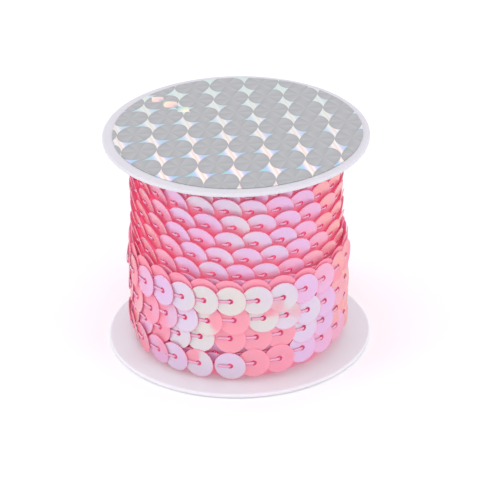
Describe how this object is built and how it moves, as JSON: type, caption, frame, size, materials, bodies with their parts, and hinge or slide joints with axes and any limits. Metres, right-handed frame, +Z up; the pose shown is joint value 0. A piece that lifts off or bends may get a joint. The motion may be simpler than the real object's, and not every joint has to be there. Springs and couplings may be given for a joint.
{
  "type": "spool of sequin trim",
  "caption": "Sequin trim wound in overlapping rows on a flanged plastic spool, with a patterned foil disc on its top flange.",
  "frame": {"origin": "centre of the spool's underside", "axes": "+Z up along the spool's axis, -Y towards the front that the reference view shows"},
  "size_m": [0.05, 0.05, 0.0432],
  "materials": {
    "spool_plastic": "moulded milky plastic, satin",
    "foil": "silver film with a fine diffracting pattern",
    "sequin_film": "pink film with a pearly iridescent coat"
  },
  "bodies": {
    "root": {"bottom_flange": "spool_plastic", "core_tube": "spool_plastic", "top_flange": "spool_plastic", "foil_disc": "foil", "sequin_winding": "sequin_film"}
  },
  "joints": []
}
